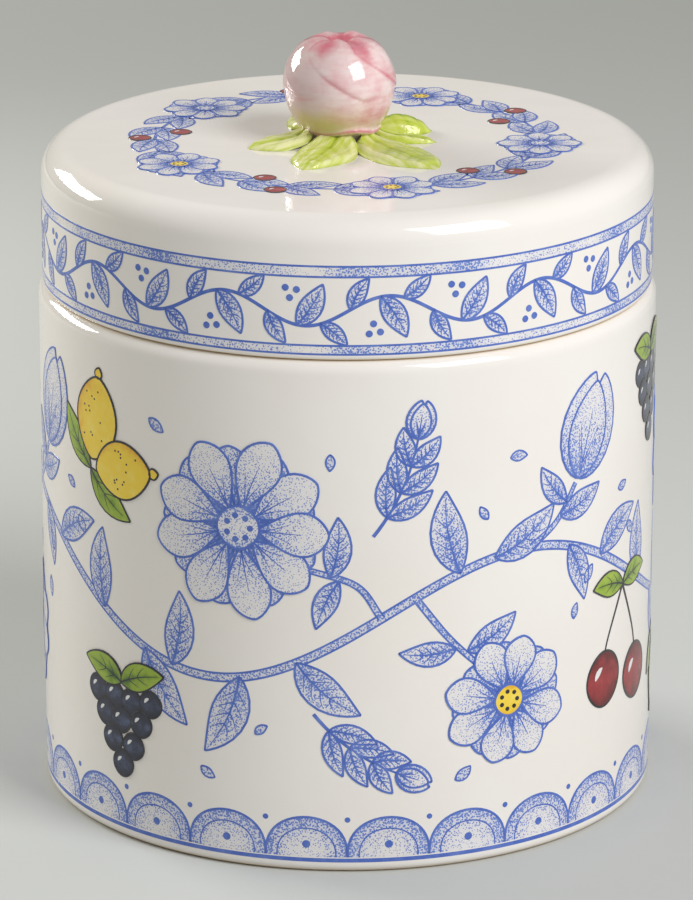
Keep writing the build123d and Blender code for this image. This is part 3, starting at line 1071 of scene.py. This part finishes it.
def ring(zone, paint, height, half, lift, tone=STROKE_TONE):
    """A level stripe round a wall."""
    line, side = wave_round(zone, 1, RING_STEPS, height, 0.0)
    lay_strokes(zone, paint, line, half, lift, True, side, tone)


# The jar's print: one repeat of the pattern goes a third of the way round. Places are millimetres
# along the wall from the middle of the repeat, and heights over the table.
VINE_TURNS = 3
VINE_HEIGHT = 62.0
VINE_SWING = 15.0
VINE_LAG = 5.0
VINE_HALF = 1.0
VINE_TONE = 0.6
REPEAT = 2 * math.pi * JAR_RADIUS / VINE_TURNS
# Side stalks: where each leaves the vine, and its other points
STALKS = (
    (8, ((2, 72), (-10, 76), (-20, 80))),
    (16, ((24, 58), (32, 50), (38, 45))),
    (46, ((54, 82), (60, 90))),
)
# Leaves on the vine: place, lean, length, bend
VINE_LEAVES = (
    (-66, 1.9, 20, -0.6), (-52, -1.2, 21, 0.5), (-44, 1.2, 19, 0.5), (-26, -1.7, 22, -0.6),
    (-12, -1.0, 20, 0.6), (27, 2.0, 21, -0.5), (36, 0.25, 20, 0.6), (58, -0.95, 16, -0.5),
    (70, 0.7, 19, -0.5),
)
# Leaves on the stalks: place, height, lean, length, width, bend
STALK_LEAVES = (
    (-4, 74, 1.2, 15, 6.4, 0.5), (-2, 73, -2.2, 13, 5.6, 0.4), (26, 55, 3.4, 14, 6.0, -0.5),
    (29, 54, 0.3, 15, 6.4, 0.5), (55, 83, 0.1, 15, 6.4, 0.5), (57, 86, 2.5, 13, 5.6, -0.5),
)
# Loose petals: place, height
PETAL_PLACES = (
    (-50, 108), (-4, 104), (40, 100), (34, 86), (64, 64), (78, 84), (-22, 34), (60, 56), (-74, 74),
    (26, 22), (-36, 24),
)


def vine_height(along):
    """Height of the trailing vine at a place along the wall: a sine wave round the jar."""
    return VINE_HEIGHT + VINE_SWING * np.sin(2 * math.pi * (along - VINE_LAG) / REPEAT)


def jar_vine():
    """The vine itself, closed round the jar: a stippled stroke with a fine line down each side."""
    line, side = wave_round("jar", VINE_TURNS, 540, VINE_HEIGHT, VINE_SWING, VINE_LAG)
    lay_strokes("jar", "wash", line, VINE_HALF, layer_lift(0), True, side, VINE_TONE)
    for edge in (VINE_HALF, -VINE_HALF):
        lay_strokes("jar", "blue", line + edge * side, RAIL_LINE, layer_lift(0) + LINE_STEP, True, side)


def jar_spray(start):
    """One repeat of the jar's pattern: two daisies, a tulip, twigs and leaves along the vine."""
    for root, bends in STALKS:
        points = np.array([(root, vine_height(root)), *bends])
        stem(points + (start, 0), 1)
    place, lean, length, bend = np.array(VINE_LEAVES).T
    leaves = blades_of(start + place, vine_height(place), lean, length, 0.42 * length, bend, *LEAF_SHAPE)
    blue_leaves("jar", leaves, 1)
    place, *shape = np.array(STALK_LEAVES).T
    blue_leaves("jar", blades_of(start + place, *shape, *LEAF_SHAPE), 2)
    daisy("jar", start - 26, 85, 23, 9, 3, 0.3, "blue")
    daisy("jar", start + 40, 40, 17, 8, 3, 0.1, "yellow")
    tulip(start + 61, 91, 1.25, 26, 3)
    sprig(start + 6, 84, 0.9, 26, 1)
    sprig(start - 8, 40, -0.9, 25, 1)
    place, height = np.array(PETAL_PLACES).T
    loose_petals(start + place, height, 1)


def jar_fruit():
    """Painted fruit in the gaps of the print: each is a kind, a place, a height and a size, and
    for lemons a heading."""
    lemons(-71, 91, 21.0, 0.75)
    grapes(-60, 41, 6.8)
    cherries(81, 59, 14.0)
    grapes(REPEAT - 58, 114, 6.4)
    lemons(REPEAT - 41, 38, 20.0, -1.2)
    cherries(2 * REPEAT - 66, 114, 13.0)
    grapes(2 * REPEAT - 64, 46, 6.6)


# The hem round the foot; a scallop's stipple stops just short of the next one
HEM_SCALLOPS = 24
HEM_FOOT = 4.0
HEM_RISE = 10.0
HEM_PITCH = 2 * math.pi * JAR_RADIUS / HEM_SCALLOPS
HEM_REACH = 0.5 * HEM_PITCH
STIPPLE_REACH = 0.498 * HEM_PITCH
# Beads in the scallops and between them: height over the foot of the hem, and radius
INNER_BEAD_RISE, INNER_BEAD = 3.2, 1.0
OUTER_BEAD_RISE, OUTER_BEAD = 9.5, 0.7


def scallop(middle, reach, share, turn):
    """Points of half ovals round those middles, with that reach to each side, at a share of the size."""
    x = middle - share * reach * np.cos(turn)
    y = HEM_FOOT + share * HEM_RISE * np.sin(turn) ** 0.8
    return np.stack(np.broadcast_arrays(x, y), axis=-1)


def jar_border():
    """A hem of stippled scallops round the foot, each a half oval with an inner arch and a bead."""
    middle = (np.arange(HEM_SCALLOPS) + 0.5) * HEM_PITCH
    rise = np.linspace(0.02, 1, 7)[None, :, None]
    grid = scallop(middle[:, None, None], STIPPLE_REACH, rise, np.linspace(0.0, math.pi, 17))
    tone = np.broadcast_to(0.2 + 0.6 * rise**2, grid.shape[:-1])
    lay_patches("jar", "wash", grid, tone, layer_lift(0))
    for share, half in ((1.0, 0.3), (0.72, 0.18)):
        arch = scallop(middle[:, None], HEM_REACH, share, np.linspace(0.0, math.pi, 24))
        lay_strokes("jar", "blue", arch, half, layer_lift(0) + LINE_STEP)
    dots("jar", "blue", middle, HEM_FOOT + INNER_BEAD_RISE, INNER_BEAD, layer_lift(0) + LINE_STEP)
    dots("jar", "blue", middle - HEM_REACH, HEM_FOOT + OUTER_BEAD_RISE, OUTER_BEAD, layer_lift(0))
    ring("jar", "blue", HEM_FOOT - 0.8, 0.5, layer_lift(0))


# The lid's print
BAND_MIDDLE = 138.3
BAND_WAVES = 12
BAND_SWING = 3.6
BAND_HALF = 0.42
# Rails: height and half width
BAND_RAILS = ((129.0, 1.05), (147.7, 1.25))
# Leaves of half a wave: place along it, lean, length, bend. The other half is the same, upside down.
BAND_LEAVES = ((0.02, 1.3, 8.5, -0.5), (0.2, -0.85, 11.5, -0.35), (0.34, 0.5, 8.0, 0.4))
BAND_DOTS = ((5.0, -5.4), (7.6, -5.0), (6.0, -3.0))
WREATH_RADIUS = 46.5
WREATH_PAIRS = 25
WREATH_LEAF_LENGTH, WREATH_LEAF_WIDTH = 12.5, 6.0
WREATH_FLOWERS = 5
BERRY_SIZE = 5.2


def rail_tone():
    """The stipple of a rail round the lid: a few sine waves, so that it thins and thickens."""
    turn = turns(RING_STEPS)
    return 0.44 + 0.16 * np.sin(7 * turn) + 0.14 * np.sin(19 * turn + 1.0) + 0.1 * np.sin(31 * turn + 2.0)


def lid_band():
    """The lid's band: a stippled rail above and below, and between them a running leaf scroll on a
    sine wave, with leaves in its pockets and three dots in each gap."""
    for height, half in BAND_RAILS:
        ring("band", "wash", height, half, layer_lift(0), rail_tone())
        for edge in (half, -half):
            ring("band", "blue", height + edge, RAIL_LINE, layer_lift(0) + LINE_STEP)
    line, side = wave_round("band", BAND_WAVES, 40 * BAND_WAVES, BAND_MIDDLE, BAND_SWING)
    lay_strokes("band", "blue", line, BAND_HALF, layer_lift(0), True, side)
    pitch = 2 * math.pi * LID_RADIUS / BAND_WAVES
    for flip, shift in ((1.0, 0.0), (-1.0, 0.5 * pitch)):
        wave = np.arange(BAND_WAVES) * pitch + shift
        for place, lean, size, bend in BAND_LEAVES:
            x = wave + place * pitch
            y = BAND_MIDDLE + flip * BAND_SWING * math.sin(2 * math.pi * place)
            leaves = blades_of(x, y, flip * lean, size, 0.46 * size, flip * bend, 0.85, 0.85)
            blue_leaves("band", leaves, 1)
        for x, y in BAND_DOTS:
            dots("band", "blue", wave + x, BAND_MIDDLE + flip * y, 0.85, layer_lift(1))


def lid_wreath():
    """The lid's top: a wreath of leaf pairs on a ring, with daisies and red berries set into it."""
    line = np.stack(on_ring(turns(240), WREATH_RADIUS), axis=-1)[None]
    lay_strokes("top", "blue", line, 0.45, layer_lift(0), closed=True)
    turn = turns(WREATH_PAIRS) + math.pi / WREATH_PAIRS
    for lean, bend, layer in ((0.62, -0.5, 1), (-0.62, 0.5, 2)):
        heading = turn + math.pi / 2 + lean + chance.normal(0, 0.06, WREATH_PAIRS)
        length = WREATH_LEAF_LENGTH + chance.normal(0, 0.6, WREATH_PAIRS)
        foot = on_ring(turn, WREATH_RADIUS)
        leaves = blades_of(*foot, heading, length, WREATH_LEAF_WIDTH, bend, *LEAF_SHAPE)
        blue_leaves("top", leaves, layer)
    flower_turn = (np.arange(WREATH_FLOWERS) + 0.18) * 2 * math.pi / WREATH_FLOWERS + FRONT
    for number, angle in enumerate(flower_turn):
        heart = "yellow" if number % 2 == 0 else "blue"
        daisy("top", *on_ring(angle, WREATH_RADIUS), 10.5, 8, 3, 0.4 * number, heart)
    gaps = flower_turn + math.pi / WREATH_FLOWERS
    for spread, layer in ((-0.09, 3), (0.06, 4)):
        x, y = on_ring(gaps + spread, WREATH_RADIUS + 60 * spread)
        red_fruit("top", x, y, BERRY_SIZE, layer_lift(layer), berry_tone, (10, 7), (0.18, 14))


def decoration_paints():
    """The materials of the decoration, by paint."""
    paints = {name: enamel_material(f"{name}_enamel", *colours) for name, colours in ENAMELS.items()}
    paints["wash"] = wash_material()
    paints["blue"] = ink_material("blue_ink", BLUE_INK, BLUE_THIN)
    paints["dark"] = ink_material("dark_ink", *DARK_INK)
    paints["white"] = ink_material("white_enamel", *WHITE_ENAMEL)
    return paints


def decoration():
    """Draws everything, then makes one piece per zone and paint."""
    jar_vine()
    for repeat in range(VINE_TURNS):
        jar_spray(repeat * REPEAT)
    jar_fruit()
    jar_border()
    lid_band()
    lid_wreath()
    paints = decoration_paints()
    bodies = {"jar": "jar", "band": "lid", "top": "lid"}
    for (zone, paint), batches in pages.items():
        sizes = np.array([len(points) for points, _, _ in batches])
        starts = np.cumsum(sizes) - sizes
        points = np.concatenate([batch[0] for batch in batches])
        quads = np.concatenate([batch[1] + start for batch, start in zip(batches, starts)])
        marks = {"tone": np.concatenate([batch[2] for batch in batches])}
        name = f"{zone}_{paint}"
        piece = put_mesh(name, points, quads, [], paints[paint], bodies[zone], PRINT_CREASE, marks)


# Camera, floor and light, in metres, degrees and watts

CAMERA_DISTANCE = 1.335
CAMERA_ELEVATION = 17.7
CAMERA_FOCUS_PX = 5432.0
AIM = Vector((0.0, 0.0, 0.08))
AIM_PIXEL = (347.5, 455.5)
FRAME_PX = (693, 900)
# The floor's paper near the front, its painted shade far back, and its painted pool of light at the left
# behind
FLOOR_NEAR = (0.565, 0.58, 0.565)
FLOOR_FAR_PAINTED_SHADE = (0.4, 0.412, 0.395)
FLOOR_PAINTED_LIGHT = (0.6, 0.612, 0.59)
FLOOR_REACH = 6.0
# Where the floor's painted shade deepens, along y, and where its painted pool of light starts and ends,
# along x and y
FAR_FADE = (0.1, 0.9)
LEFT_FADE = (-0.04, -0.12)
BEHIND_FADE = (-0.06, 0.1)
BEFORE_FADE = (0.75, 0.4)
SURROUND = (0.366, 0.357, 0.338)
# Lamps: name, direction from the aim, distance, width and height, power and colour
LAMPS = (
    ("key_box", (0.58, -0.54, 0.61), 1.5, (0.72, 0.84), 17.4, (1.0, 1.0, 1.02)),
    ("window", (-0.74, 0.586, 0.34), 2.3, (1.4, 0.58), 41.0, (1.0, 0.985, 0.94)),
)


def put_facing(name, data, direction, distance):
    """A camera or a lamp at that distance from the aim on that side, turned to it."""
    thing = bpy.data.objects.new(name, data)
    away = Vector(direction).normalized()
    thing.location = AIM + away * distance
    thing.rotation_euler = away.to_track_quat("Z", "Y").to_euler()
    bpy.context.scene.collection.objects.link(thing)
    return thing


def set_camera():
    """A long lens, level across, aimed at the jar's middle, with the aim at its pixel by a shift."""
    lens = bpy.data.cameras.new("camera")
    lens.sensor_width = 36.0
    lens.lens = CAMERA_FOCUS_PX / FRAME_PX[1] * lens.sensor_width
    lens.shift_x = (FRAME_PX[0] / 2 - AIM_PIXEL[0]) / FRAME_PX[1]
    lens.shift_y = (AIM_PIXEL[1] - FRAME_PX[1] / 2) / FRAME_PX[1]
    rise = math.radians(CAMERA_ELEVATION)
    back = (0, -math.cos(rise), math.sin(rise))
    bpy.context.scene.camera = put_facing("camera", lens, back, CAMERA_DISTANCE)


def floor_material():
    """Pale paper, with painted shade that darkens it away from the front and a painted pool of light behind
    on the left.
    """
    material, tree, shader, place = start_material("floor_paper", FLOOR_ROUGHNESS)
    split = tree.nodes.new("ShaderNodeSeparateXYZ")
    tree.links.new(place, split.inputs["Vector"])
    far_painted_shade = between(tree, split.outputs["Y"], *FAR_FADE)
    left = between(tree, split.outputs["X"], *LEFT_FADE)
    behind = between(tree, split.outputs["Y"], *BEHIND_FADE)
    before = between(tree, split.outputs["Y"], *BEFORE_FADE)
    # A painted pool of light at the left behind, and painted shade deepening far back
    painted_light = sums(tree, "MULTIPLY", left, sums(tree, "MULTIPLY", behind, before))
    ground = blended(tree, far_painted_shade, FLOOR_NEAR, FLOOR_FAR_PAINTED_SHADE)
    tree.links.new(blended(tree, painted_light, ground, FLOOR_PAINTED_LIGHT), shader.inputs["Base Color"])
    shader.inputs["Specular IOR Level"].default_value = 0.1
    return material


def set_floor():
    """A wide floor: a disc of rings, closer together in the middle."""
    rings, sides = 23, 64
    reach = FLOOR_REACH * np.linspace(0, 1, rings + 1)[1:, None] ** 2
    angle = turns(sides)[None, :]
    points = np.stack([*on_ring(angle, reach), 0 * reach * angle], axis=-1)
    faces = grid_faces(rings, sides, True)[:, ::-1].tolist() + [list(range(sides))]
    mesh = bpy.data.meshes.new("floor")
    mesh.from_pydata(points.reshape(-1, 3).tolist(), [], faces)
    mesh.materials.append(floor_material())
    floor = bpy.data.objects.new("floor", mesh)
    bpy.context.scene.collection.objects.link(floor)


def set_lamp(name, direction, distance, size, power, colour):
    """A soft box of that size, on that side of the jar, facing it."""
    light = bpy.data.lights.new(name, "AREA")
    light.shape = "RECTANGLE"
    light.size, light.size_y = size
    light.energy = power
    light.color = colour
    put_facing(name, light, direction, distance)


def set_light():
    """A wide key box high on the right, a window low at the left, and an even warm grey surround."""
    for lamp in LAMPS:
        set_lamp(*lamp)
    world = bpy.data.worlds.new("surround")
    world.use_nodes = True
    world.node_tree.nodes["Background"].inputs["Color"].default_value = (*SURROUND, 1.0)
    bpy.context.scene.world = world
    bpy.context.scene.view_settings.view_transform = "Standard"


set_camera()
set_floor()
set_light()
glaze = glaze_material()
jar_piece(glaze)
lid_piece(glaze)
bud_piece(rose_material())
leaf_paint = leaf_material()
for number in range(len(LEAVES)):
    leaf_piece(number, leaf_paint)
decoration()
